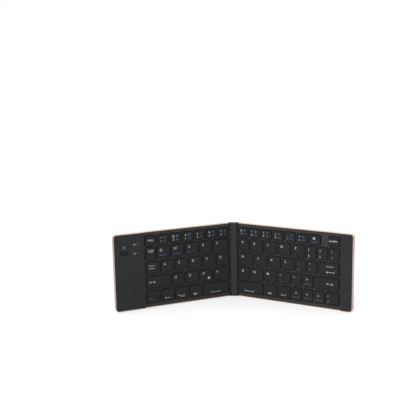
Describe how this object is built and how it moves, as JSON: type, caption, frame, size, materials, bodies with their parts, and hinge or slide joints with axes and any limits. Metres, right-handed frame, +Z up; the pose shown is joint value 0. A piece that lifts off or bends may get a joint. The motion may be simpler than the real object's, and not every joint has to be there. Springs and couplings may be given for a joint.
{
  "type": "folding keyboard",
  "caption": "Pocket keyboard in two hinged halves: metal covers, a double-pivot spine, flat keys, and a raised battery strip with a power slider.",
  "frame": {"origin": "middle of the footprint, on the surface that the open keyboard stands on (centre of the bottom of its box)", "axes": "+Z up, along both hinge axes, from the front long edges to the back ones; +X to the right as a viewer sees the keys, along the open keyboard; the keys face -Y, and the halves come forward from the spine in a wide V"},
  "size_m": [0.2816, 0.0678, 0.0944],
  "materials": {
    "cover_metal": "satin anodised, rose gold",
    "deck_plastic": "fine matt grain",
    "panel_plastic": "fine matt grain",
    "key_plastic": "smooth matt",
    "spine_plastic": "satin",
    "foot_rubber": "matt",
    "dome_silicone": "translucent silicone",
    "hinge_black": "blackened steel, satin",
    "hinge_steel": "brushed",
    "chassis_metal": "mill finish",
    "screw_steel": "zinc plated",
    "magnet_metal": "nickel plated",
    "battery_pouch": "foil pouch",
    "board": "solder mask",
    "socket_metal": "tinned",
    "slider_plastic": "smooth matt",
    "light_pipe": "translucent white",
    "cable_film": "film",
    "print_white": "key print, white",
    "print_blue": "key print, blue"
  },
  "bodies": {
    "spine": {"hinge_spine": "spine_plastic", "spine_end_caps": "spine_plastic", "left_hinge_pin": "hinge_steel", "right_hinge_pin": "hinge_steel", "flex_cable": "cable_film"},
    "left_half": {"left_bottom_cover": "cover_metal", "left_top_deck": "deck_plastic", "left_control_panel": "panel_plastic", "left_key_chassis": "chassis_metal", "left_dome_sheet": "dome_silicone", "left_hinge_leaf": "hinge_black", "left_screws": "screw_steel", "left_closing_magnets": "magnet_metal", "left_feet": "foot_rubber", "battery_cell": "battery_pouch", "main_board": "board", "charging_socket": "socket_metal", "status_lights": "light_pipe"},
    "right_half": {"right_bottom_cover": "cover_metal", "right_top_deck": "deck_plastic", "right_end_strip": "panel_plastic", "right_key_chassis": "chassis_metal", "right_dome_sheet": "dome_silicone", "right_hinge_leaf": "hinge_black", "right_screws": "screw_steel", "right_closing_magnets": "magnet_metal", "right_feet": "foot_rubber"},
    "power_slider": {"power_slider": "slider_plastic"},
    "key_escape": {"key_escape": "key_plastic"},
    "keys_left_numbers": {"keys_left_numbers": "key_plastic"},
    "key_tab": {"key_tab": "key_plastic"},
    "keys_left_upper_letters": {"keys_left_upper_letters": "key_plastic"},
    "key_caps_lock": {"key_caps_lock": "key_plastic"},
    "keys_left_home_letters": {"keys_left_home_letters": "key_plastic"},
    "key_left_shift": {"key_left_shift": "key_plastic"},
    "keys_left_lower_letters": {"keys_left_lower_letters": "key_plastic"},
    "key_function": {"key_function": "key_plastic"},
    "key_left_control": {"key_left_control": "key_plastic"},
    "key_left_option": {"key_left_option": "key_plastic"},
    "key_left_command": {"key_left_command": "key_plastic"},
    "key_left_space": {"key_left_space": "key_plastic"},
    "keys_right_numbers": {"keys_right_numbers": "key_plastic"},
    "key_backspace": {"key_backspace": "key_plastic"},
    "keys_right_upper_letters": {"keys_right_upper_letters": "key_plastic"},
    "keys_brackets": {"keys_brackets": "key_plastic"},
    "keys_right_home_letters": {"keys_right_home_letters": "key_plastic"},
    "keys_semicolon_quote": {"keys_semicolon_quote": "key_plastic"},
    "key_enter": {"key_enter": "key_plastic"},
    "keys_right_lower_letters": {"keys_right_lower_letters": "key_plastic"},
    "keys_comma_period": {"keys_comma_period": "key_plastic"},
    "key_up_arrow": {"key_up_arrow": "key_plastic"},
    "key_right_shift": {"key_right_shift": "key_plastic"},
    "key_right_space": {"key_right_space": "key_plastic"},
    "key_right_option": {"key_right_option": "key_plastic"},
    "key_right_control": {"key_right_control": "key_plastic"},
    "key_left_arrow": {"key_left_arrow": "key_plastic"},
    "key_down_arrow": {"key_down_arrow": "key_plastic"},
    "key_right_arrow": {"key_right_arrow": "key_plastic"},
    "key_slash": {"key_slash": "key_plastic"}
  },
  "joints": [
    {"name": "left_hinge", "type": "hinge", "parent": "spine", "child": "left_half", "pos_m": [-0.0039, 0.03081, 0], "axis": [0, 0, 1], "range_deg": [-24.5, 65.5]},
    {"name": "right_hinge", "type": "hinge", "parent": "spine", "child": "right_half", "pos_m": [0.0039, 0.03081, 0], "axis": [0, 0, -1], "range_deg": [-24.5, 65.5]},
    {"name": "power_slide", "type": "slide", "parent": "left_half", "child": "power_slider", "axis": [0.91, 0.4147, 0], "range_m": [0, 0.0036]},
    {"name": "key_escape_press", "type": "slide", "parent": "left_half", "child": "key_escape", "axis": [-0.4147, 0.91, 0], "range_m": [0, 0.0012], "stiffness_N_per_m": 400},
    {"name": "keys_left_numbers_press", "type": "slide", "parent": "left_half", "child": "keys_left_numbers", "axis": [-0.4147, 0.91, 0], "range_m": [0, 0.0012], "stiffness_N_per_m": 400},
    {"name": "key_tab_press", "type": "slide", "parent": "left_half", "child": "key_tab", "axis": [-0.4147, 0.91, 0], "range_m": [0, 0.0012], "stiffness_N_per_m": 400},
    {"name": "keys_left_upper_letters_press", "type": "slide", "parent": "left_half", "child": "keys_left_upper_letters", "axis": [-0.4147, 0.91, 0], "range_m": [0, 0.0012], "stiffness_N_per_m": 400},
    {"name": "key_caps_lock_press", "type": "slide", "parent": "left_half", "child": "key_caps_lock", "axis": [-0.4147, 0.91, 0], "range_m": [0, 0.0012], "stiffness_N_per_m": 400},
    {"name": "keys_left_home_letters_press", "type": "slide", "parent": "left_half", "child": "keys_left_home_letters", "axis": [-0.4147, 0.91, 0], "range_m": [0, 0.0012], "stiffness_N_per_m": 400},
    {"name": "key_left_shift_press", "type": "slide", "parent": "left_half", "child": "key_left_shift", "axis": [-0.4147, 0.91, 0], "range_m": [0, 0.0012], "stiffness_N_per_m": 400},
    {"name": "keys_left_lower_letters_press", "type": "slide", "parent": "left_half", "child": "keys_left_lower_letters", "axis": [-0.4147, 0.91, 0], "range_m": [0, 0.0012], "stiffness_N_per_m": 400},
    {"name": "key_function_press", "type": "slide", "parent": "left_half", "child": "key_function", "axis": [-0.4147, 0.91, 0], "range_m": [0, 0.0012], "stiffness_N_per_m": 400},
    {"name": "key_left_control_press", "type": "slide", "parent": "left_half", "child": "key_left_control", "axis": [-0.4147, 0.91, 0], "range_m": [0, 0.0012], "stiffness_N_per_m": 400},
    {"name": "key_left_option_press", "type": "slide", "parent": "left_half", "child": "key_left_option", "axis": [-0.4147, 0.91, 0], "range_m": [0, 0.0012], "stiffness_N_per_m": 400},
    {"name": "key_left_command_press", "type": "slide", "parent": "left_half", "child": "key_left_command", "axis": [-0.4147, 0.91, 0], "range_m": [0, 0.0012], "stiffness_N_per_m": 400},
    {"name": "key_left_space_press", "type": "slide", "parent": "left_half", "child": "key_left_space", "axis": [-0.4147, 0.91, 0], "range_m": [0, 0.0012], "stiffness_N_per_m": 400},
    {"name": "keys_right_numbers_press", "type": "slide", "parent": "right_half", "child": "keys_right_numbers", "axis": [0.4147, 0.91, 0], "range_m": [0, 0.0012], "stiffness_N_per_m": 400},
    {"name": "key_backspace_press", "type": "slide", "parent": "right_half", "child": "key_backspace", "axis": [0.4147, 0.91, 0], "range_m": [0, 0.0012], "stiffness_N_per_m": 400},
    {"name": "keys_right_upper_letters_press", "type": "slide", "parent": "right_half", "child": "keys_right_upper_letters", "axis": [0.4147, 0.91, 0], "range_m": [0, 0.0012], "stiffness_N_per_m": 400},
    {"name": "keys_brackets_press", "type": "slide", "parent": "right_half", "child": "keys_brackets", "axis": [0.4147, 0.91, 0], "range_m": [0, 0.0012], "stiffness_N_per_m": 400},
    {"name": "keys_right_home_letters_press", "type": "slide", "parent": "right_half", "child": "keys_right_home_letters", "axis": [0.4147, 0.91, 0], "range_m": [0, 0.0012], "stiffness_N_per_m": 400},
    {"name": "keys_semicolon_quote_press", "type": "slide", "parent": "right_half", "child": "keys_semicolon_quote", "axis": [0.4147, 0.91, 0], "range_m": [0, 0.0012], "stiffness_N_per_m": 400},
    {"name": "key_enter_press", "type": "slide", "parent": "right_half", "child": "key_enter", "axis": [0.4147, 0.91, 0], "range_m": [0, 0.0012], "stiffness_N_per_m": 400},
    {"name": "keys_right_lower_letters_press", "type": "slide", "parent": "right_half", "child": "keys_right_lower_letters", "axis": [0.4147, 0.91, 0], "range_m": [0, 0.0012], "stiffness_N_per_m": 400},
    {"name": "keys_comma_period_press", "type": "slide", "parent": "right_half", "child": "keys_comma_period", "axis": [0.4147, 0.91, 0], "range_m": [0, 0.0012], "stiffness_N_per_m": 400},
    {"name": "key_up_arrow_press", "type": "slide", "parent": "right_half", "child": "key_up_arrow", "axis": [0.4147, 0.91, 0], "range_m": [0, 0.0012], "stiffness_N_per_m": 400},
    {"name": "key_right_shift_press", "type": "slide", "parent": "right_half", "child": "key_right_shift", "axis": [0.4147, 0.91, 0], "range_m": [0, 0.0012], "stiffness_N_per_m": 400},
    {"name": "key_right_space_press", "type": "slide", "parent": "right_half", "child": "key_right_space", "axis": [0.4147, 0.91, 0], "range_m": [0, 0.0012], "stiffness_N_per_m": 400},
    {"name": "key_right_option_press", "type": "slide", "parent": "right_half", "child": "key_right_option", "axis": [0.4147, 0.91, 0], "range_m": [0, 0.0012], "stiffness_N_per_m": 400},
    {"name": "key_right_control_press", "type": "slide", "parent": "right_half", "child": "key_right_control", "axis": [0.4147, 0.91, 0], "range_m": [0, 0.0012], "stiffness_N_per_m": 400},
    {"name": "key_left_arrow_press", "type": "slide", "parent": "right_half", "child": "key_left_arrow", "axis": [0.4147, 0.91, 0], "range_m": [0, 0.0012], "stiffness_N_per_m": 400},
    {"name": "key_down_arrow_press", "type": "slide", "parent": "right_half", "child": "key_down_arrow", "axis": [0.4147, 0.91, 0], "range_m": [0, 0.0012], "stiffness_N_per_m": 400},
    {"name": "key_right_arrow_press", "type": "slide", "parent": "right_half", "child": "key_right_arrow", "axis": [0.4147, 0.91, 0], "range_m": [0, 0.0012], "stiffness_N_per_m": 400},
    {"name": "key_slash_press", "type": "slide", "parent": "right_half", "child": "key_slash", "axis": [0.4147, 0.91, 0], "range_m": [0, 0.0012], "stiffness_N_per_m": 400}
  ]
}
